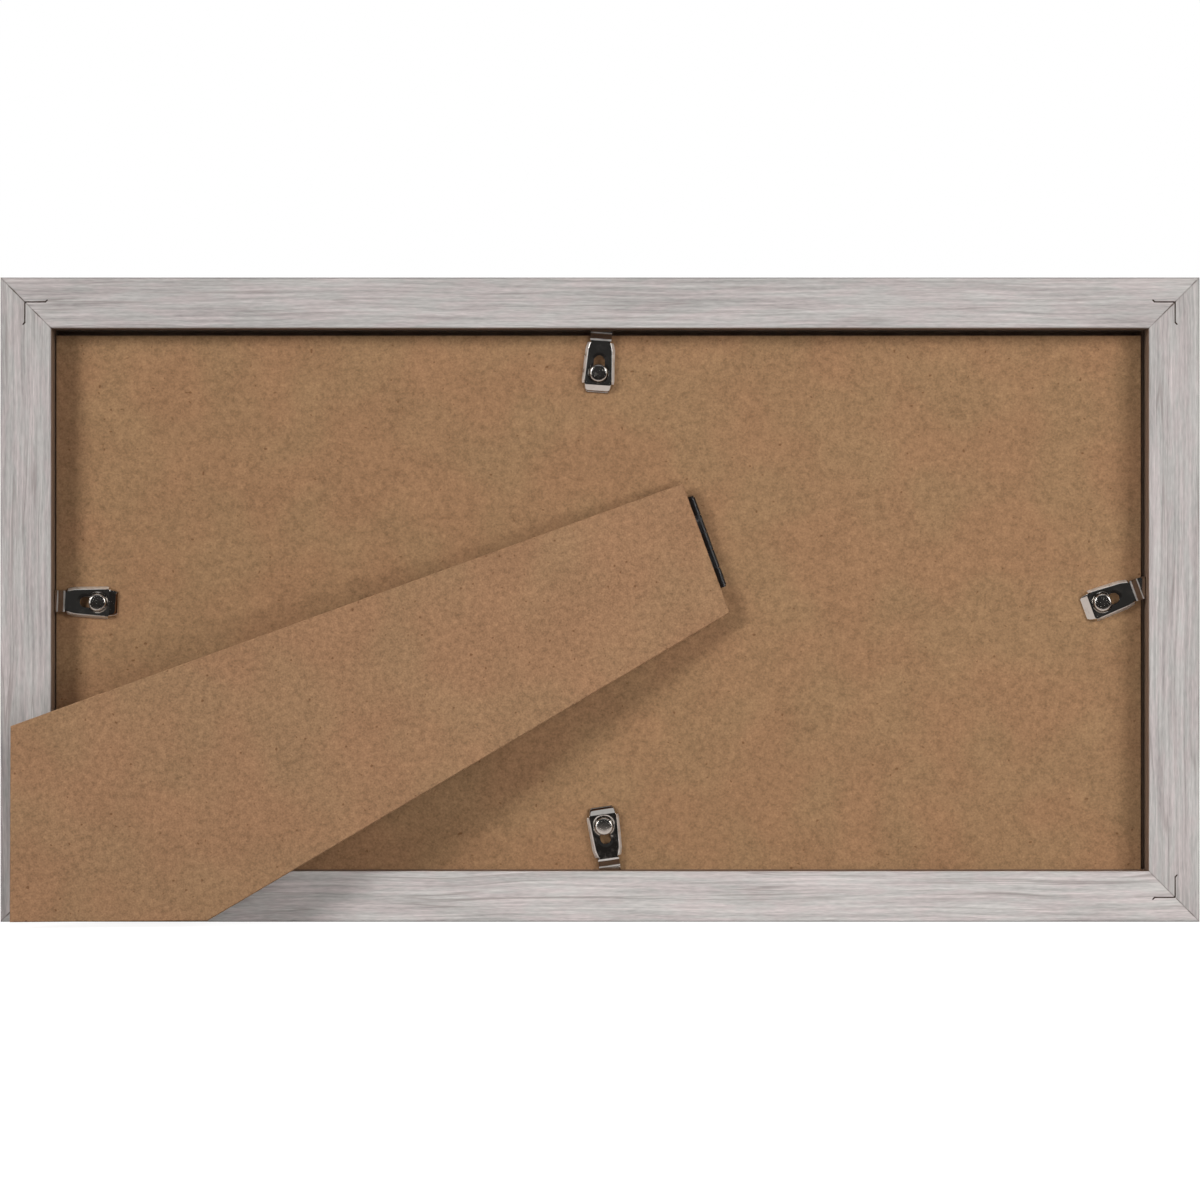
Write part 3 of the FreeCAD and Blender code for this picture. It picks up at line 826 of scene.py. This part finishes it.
def clip_mesh(sizes):
    """A pressed clip in its own axes: x to the tip and z out of the board."""
    top = [
        (sizes.ear_reach, sizes.tip_half),
        (sizes.shoulder_reach, sizes.shoulder_half - sizes.splay),
        (sizes.splay - sizes.waist_reach, sizes.waist_half - sizes.splay),
        (-sizes.tail_bend, sizes.bend_half)]
    foot = [
        (sizes.ear_reach, sizes.tip_half + sizes.splay),
        (sizes.shoulder_reach, sizes.shoulder_half),
        (-sizes.waist_reach, sizes.waist_half), (-sizes.tail_reach, sizes.tail_half)]
    steps = (5, 16, 4, 14, 4, 16, 5)  # along each straight run of the outline
    top_path = outline_points(
        top + [(x, -y) for x, y in top[::-1]], sizes.top_corner, steps)
    foot_path = outline_points(
        foot + [(x, -y) for x, y in foot[::-1]], sizes.foot_corner, steps)
    centre = Vector((sizes.travel * 0.4, 0.0))
    rings = 18  # from the keyhole's edge to the plate's edge
    dishes = ((0.0, sizes.dish, 1.0), (sizes.travel, sizes.slot_dish, 0.4))
    skin = bmesh.new()

    def sunk(x, y, drop_here):
        depth = 0.0
        for middle, edge, full in dishes:
            part = (edge - math.hypot(x - middle, y)) / sizes.dish_slope
            part = min(max(part, 0.0), 1.0)
            depth = max(depth, full * part * part * (3 - 2 * part))
        return skin.verts.new((x, y, sizes.height - drop_here - sizes.dish_depth * depth))

    def plate_column(edge):
        direction = (edge - centre).normalized()
        hole = keyhole_edge(sizes, centre, direction)
        return [hole.lerp(edge, step / rings) for step in range(rings)]

    columns = []
    for upper, lower in zip(top_path, foot_path):
        outward = (lower - upper).normalized()
        tail = (lower.x + sizes.waist_reach) / (sizes.waist_reach - sizes.tail_reach)
        lift = sizes.lift + (sizes.tail_lift - sizes.lift) * min(max(tail, 0.0), 1.0)
        profile = bend_profile((lower - upper).length, sizes.height - lift, sizes.bend)
        start = upper + outward * profile[0][0]
        column = [sunk(point.x, point.y, 0.0) for point in plate_column(start)]
        for offset, fall in profile:
            place = upper + outward * offset
            column.append(sunk(place.x, place.y, fall))
        columns.append(column)
    for first, second in zip(columns, columns[1:]):
        for inner in range(len(first) - 1):
            skin.faces.new(
                (first[inner], second[inner], second[inner + 1], first[inner + 1]))

    last, opening = columns[-1], columns[0]
    front = [last[:rings + 1]]
    count = 14  # faces across the neck and the tongue
    root = last[rings].co
    for step in range(1, count):
        y = root.y + (opening[rings].co.y - root.y) * step / count
        edge = Vector((root.x, y))
        points = plate_column(edge) + [edge]
        front.append([sunk(point.x, point.y, 0.0) for point in points])
    front.append(opening[:rings + 1])
    for first, second in zip(front, front[1:]):
        for inner in range(rings):
            skin.faces.new(
                (first[inner], second[inner], second[inner + 1], first[inner + 1]))

    low = sizes.height - sizes.tip_height
    tongue = []
    step_down = bend_profile(sizes.step_reach - sizes.neck_reach, low, sizes.step_bend)
    for offset, fall in step_down[:BEND_STEPS + 1]:
        tongue.append((sizes.neck_reach + offset, fall))
    for offset, fall in step_down[BEND_STEPS::-1]:
        tongue.append((sizes.step_reach - offset, low - fall))
    tongue.append((sizes.tip_reach - sizes.tip_bevel, low))
    tongue.append((sizes.tip_reach, low))
    rows = [[column[rings] for column in front]]
    for x, fall in tongue:
        half = sizes.tip_half
        if x == sizes.tip_reach:
            half -= sizes.tip_bevel
        rows.append([
            skin.verts.new((x, (2 * step / count - 1) * half, sizes.height - fall))
            for step in range(count + 1)])
    for first, second in zip(rows, rows[1:]):
        for side in range(count):
            skin.faces.new(
                (first[side], first[side + 1], second[side + 1], second[side]))
    bmesh.ops.recalc_face_normals(skin, faces=skin.faces)
    if max(skin.faces, key=lambda face: face.calc_area()).normal.z < 0:
        bmesh.ops.reverse_faces(skin, faces=skin.faces)
    mesh = bpy.data.meshes.new("clip")
    skin.to_mesh(mesh)
    skin.free()
    mesh.shade_smooth()
    holder = placed("holder", mesh)
    wall = holder.modifiers.new("strip", "SOLIDIFY")
    wall.thickness = sizes.strip
    wall.offset = -1.0
    wall.use_even_offset = True
    round_edges(holder, sizes.cut_edge, math.radians(60))
    return baked(holder)


def smoothed(node, bevel, angle):
    """A merged copy of a CAD node's mesh with rounded edges and smooth curves."""
    mesh = frame["nodes"][node].data.copy()
    work = bmesh.new()
    work.from_mesh(mesh)
    bmesh.ops.remove_doubles(work, verts=work.verts, dist=0.000001)
    bmesh.ops.dissolve_limit(
        work, angle_limit=math.radians(1), verts=work.verts, edges=work.edges)
    work.to_mesh(mesh)
    work.free()
    mesh.shade_smooth()
    mesh.set_sharp_from_angle(angle=angle)
    holder = placed("holder", mesh)
    round_edges(holder, bevel, angle)
    return baked(holder)


class FRAME_OT_rails(bpy.types.Operator):
    """Cover the four rails with wood-look foil"""
    bl_idname = "photoframe.rails"
    bl_label = "Rails"

    def execute(self, context):
        look = context.scene.rail_look
        # The bottom rail's gain of 1.13 is painted light: its foil is made lighter for the light
        # that reaches it from below
        looks = {"bottom": (True, 0.31, 1.13), "right": (False, 0.57, 1.0),
                 "top": (True, 0.83, 1.0), "left": (False, 0.12, 1.0)}
        for side, (lies_along_x, seed, painted_light_gain) in looks.items():
            foil = foil_finish("foil " + side, look, lies_along_x, seed, painted_light_gain)
            dress("rail_" + side, foil)
        return {"FINISHED"}


class FRAME_OT_layers(bpy.types.Operator):
    """Finish the pane, the bare insert and the back board"""
    bl_idname = "photoframe.layers"
    bl_label = "Pane, insert and board"

    def execute(self, context):
        look = context.scene.board_look
        axes = (Vector((0, 0, 0)), Vector((1, 0, 0)), Vector((0, 0, 1)), Vector((0, -1, 0)))
        dress("back_board", hardboard_finish(
            "hardboard back", look, look.back, 0.21, 0.0, axes))
        dress("insert_sheet", card_finish("white card"))
        dress("glass_pane", glass_finish("float glass"))
        return {"FINISHED"}


class FRAME_OT_wedges(bpy.types.Operator):
    """Drive the four wedges into the mitres"""
    bl_idname = "photoframe.wedges"
    bl_label = "Corner wedges"

    def execute(self, context):
        steel = dark_steel_finish("dark steel", context.scene.metal_look.wedge)
        mesh = grown(wedge_generator(context.scene.wedge_sizes), {
            "Width": box_high.x - box_low.x, "Height": box_high.z - box_low.z,
            "Back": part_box("rail_top")[0].y, "Finish": steel})
        nodes = [name for name in frame["nodes"] if name.startswith("wedge_")]
        finished("corner_wedges", mesh, "frame", steel, nodes)
        return {"FINISHED"}


class FRAME_OT_rivets(bpy.types.Operator):
    """Turn the four rivets that hold the clips"""
    bl_idname = "photoframe.rivets"
    bl_label = "Rivets"

    def execute(self, context):
        metal = context.scene.metal_look
        plating = plating_finish("rivet plating", metal.nickel, metal.smudge, metal.rubbed)
        tree = rivet_generator(context.scene.rivet_sizes)
        for side in SIDES:
            mesh = grown(tree, {"Finish": plating})
            mesh.transform(board_place(side))
            mesh.shade_smooth()
            mesh.set_sharp_from_angle(angle=math.radians(40))
            name = "rivet_" + side
            finished(name + "_turned", mesh, name, plating, [name])
        return {"FINISHED"}


class FRAME_OT_clips(bpy.types.Operator):
    """Press the four clips with their keyholes"""
    bl_idname = "photoframe.clips"
    bl_label = "Clips"

    def execute(self, context):
        metal = context.scene.metal_look
        sizes = context.scene.clip_sizes
        # Bends and flanges that carry the painted highlight
        bends = ((sizes.neck_reach, sizes.neck_gleam), (sizes.step_reach, sizes.step_gleam))
        flanges = (
            sizes.tail_gleam - sizes.tail_bend, sizes.ear_reach, sizes.side_gleam,
            sizes.height - sizes.top_gleam)
        for side in SIDES:
            place = board_place(side)
            plating = plating_finish(
                "clip plating " + side, metal.nickel, metal.smudge, metal.gloss, bends, flanges,
                (place.translation, *(place.col[axis].to_3d() for axis in range(3))))
            mesh = clip_mesh(sizes)
            mesh.transform(place)
            mesh.set_sharp_from_angle(angle=math.radians(50))
            name = "clip_" + side
            finished(name + "_pressed", mesh, name, plating, [name])
        return {"FINISHED"}


class FRAME_OT_hinge(bpy.types.Operator):
    """Paint the hinge and smooth its rolled knuckles"""
    bl_idname = "photoframe.hinge"
    bl_label = "Hinge"

    def execute(self, context):
        paint_coat = black_paint_finish("black paint", context.scene.metal_look.hinge)
        bodies = {"hinge_fixed_leaf": "frame", "hinge_moving_leaf": "leg",
                  "hinge_pin": "frame"}
        for node, body in bodies.items():
            mesh = smoothed(node, 0.00004, math.radians(30))
            finished(node + "_rolled", mesh, body, paint_coat, [node])
        return {"FINISHED"}


class FRAME_OT_leg(bpy.types.Operator):
    """Finish the hardboard leg"""
    bl_idname = "photoframe.leg"
    bl_label = "Leg"

    def execute(self, context):
        look = context.scene.board_look
        dress("easel_leg", hardboard_finish(
            "hardboard leg", look, look.leg, 0.66, 0.03, hinge_axes()))
        return {"FINISHED"}


class FRAME_OT_stage(bpy.types.Operator):
    """Set up the floor, the light and the camera"""
    bl_idname = "photoframe.stage"
    bl_label = "Stage"

    def execute(self, context):
        look = context.scene.stage_look
        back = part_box("rail_top")[0].y
        middle = Vector((0.0, back, (box_low.z + box_high.z) / 2))
        self.build_floor()
        self.build_world(context, look)
        foot = Vector((0.06, back, 0.035))
        lamps = (
            ("left", middle, (-1.17, -1.0, 0.50), 1.2, 0.34),
            ("right", middle, (1.05, -1.0, 0.50), 1.1, 0.40),
            ("front", middle, (0.7, 1.0, 0.5), 1.2, 0.50),
            ("low", foot, (0.1, -1.0, 0.0), 0.3, 0.06))
        for name, target, direction, distance, size in lamps:
            self.build_lamp(name, target, direction, distance, size, getattr(look, name))
        camera = placed("camera", bpy.data.cameras.new("camera"))
        camera.location = middle - Vector((0.0, look.distance, VIEW_DROP))
        camera.rotation_euler = (math.pi / 2, 0.0, 0.0)
        camera.data.sensor_width = SENSOR_WIDTH
        camera.data.lens = SENSOR_WIDTH * look.distance / FIELD_WIDTH
        camera.data.clip_start = NEAREST
        context.scene.camera = camera
        context.scene.view_settings.view_transform = "Standard"
        return {"FINISHED"}

    def build_floor(self):
        """A white floor that keeps the object's shadow."""
        mesh = bpy.data.meshes.new("floor")
        half = FLOOR_HALF
        mesh.from_pydata(
            [(-half, -half, 0), (half, -half, 0), (half, half, 0), (-half, half, 0)], [],
            [(0, 1, 2, 3)])
        floor = placed("floor", mesh)
        sheet = Finish("white floor")
        soft = sheet.node("ShaderNodeBsdfDiffuse", None, {"Color": (0.25, 0.25, 0.25, 1.0)})
        rays = sheet.node("ShaderNodeLightPath")
        seen = (rays | rays.other("Is Transmission Ray")) * 0.92
        glow = sheet.node("ShaderNodeEmission", None, {"Strength": seen})
        both = sheet.node("ShaderNodeAddShader", None, {0: soft, 1: glow})
        distance = sheet.along(sheet.place, (0.0, 1.0, 0.0))
        near = sheet.ramp(distance, -0.20, -0.12, 0.02, 0.8)
        mirrored = sheet.node(
            "ShaderNodeEmission", None, {"Color": (1.0, 0.92, 0.88, 1.0), "Strength": near})
        both = sheet.node(
            "ShaderNodeMixShader", None,
            {0: rays.other("Is Glossy Ray"), 1: both, 2: mirrored})
        sheet.node("ShaderNodeOutputMaterial", None, {"Surface": both})
        mesh.materials.append(sheet.material)

    def build_world(self, context, look):
        """White to the camera, a fill from behind, and a dark room with soft windows."""
        world = bpy.data.worlds.new("studio")
        world.use_nodes = True
        context.scene.world = world
        sheet = Sheet(world.node_tree)
        sheet.tree.nodes.clear()
        rays = sheet.node("ShaderNodeLightPath")
        toward = sheet.node("ShaderNodeTexCoord", output="Generated")
        behind = sheet.along(toward, (0.0, -1.0, 0.0))
        right = sheet.along(toward, (1.0, 0.0, 0.0))
        room = sheet.ramp(behind, 0.75, 0.30, 0.035, 0.25)
        room = room * sheet.ramp(right, 0.2, 0.7, 1.0, 0.15)
        room = room | sheet.ramp(behind, 0.1, -0.5, 0.0, 0.9)
        for direction, edge, full, level in WINDOWS:
            facing = sheet.along(toward, Vector(direction).normalized())
            room = room | sheet.ramp(facing, edge, full, 0.0, level)
        clear = rays | rays.other("Is Transmission Ray")
        gloss = rays.other("Is Glossy Ray")
        matt = 1.0 - (clear | gloss)
        fill = sheet.ramp(behind, 0.2, -0.7, look.ambient, look.room)
        level = clear + gloss * room + matt * fill
        background = sheet.node(
            "ShaderNodeBackground", None, {"Color": (1.0, 1.0, 1.0, 1.0), "Strength": level})
        sheet.node("ShaderNodeOutputWorld", None, {"Surface": background})

    def build_lamp(self, name, target, direction, distance, size, part):
        """A square soft lamp that gives a share of the light on a surface facing it."""
        lamp = placed(name, bpy.data.lights.new(name, "AREA"))
        toward = Vector(direction).normalized()
        lamp.data.size = size
        lamp.visible_camera = False
        lamp.visible_glossy = False
        lamp.data.energy = part * (math.pi * distance) ** 2 / abs(toward.y)
        lamp.location = target + toward * distance
        lamp.rotation_euler = (-toward).to_track_quat("-Z", "Y").to_euler()


OPERATORS = (
    FRAME_OT_rails, FRAME_OT_layers, FRAME_OT_wedges, FRAME_OT_rivets, FRAME_OT_clips,
    FRAME_OT_hinge, FRAME_OT_leg, FRAME_OT_stage)


class FRAME_PT_pieces(bpy.types.Panel):
    """Buttons for each group of pieces and for the stage"""
    bl_idname = "FRAME_PT_pieces"
    bl_label = "Photo Frame"
    bl_space_type = "VIEW_3D"
    bl_region_type = "UI"
    bl_category = "Photo Frame"

    def draw(self, context):
        for name, group in SETTINGS.items():
            box = self.layout.box()
            for entry in group.__annotations__:
                box.prop(getattr(context.scene, name), entry)
        for operator in OPERATORS:
            self.layout.operator(operator.bl_idname)


CLASSES = (*SETTINGS.values(), *OPERATORS, FRAME_PT_pieces)


def register():
    for entry in CLASSES:
        bpy.utils.register_class(entry)
    for name, group in SETTINGS.items():
        setattr(bpy.types.Scene, name, bpy.props.PointerProperty(type=group))


def unregister():
    for name in SETTINGS:
        delattr(bpy.types.Scene, name)
    for entry in reversed(CLASSES):
        bpy.utils.unregister_class(entry)


def main():
    """Make every piece and the stage."""
    register()
    for operator in OPERATORS:
        group, name = operator.bl_idname.split(".")
        getattr(getattr(bpy.ops, group), name)()


if __name__ == "__main__":
    main()
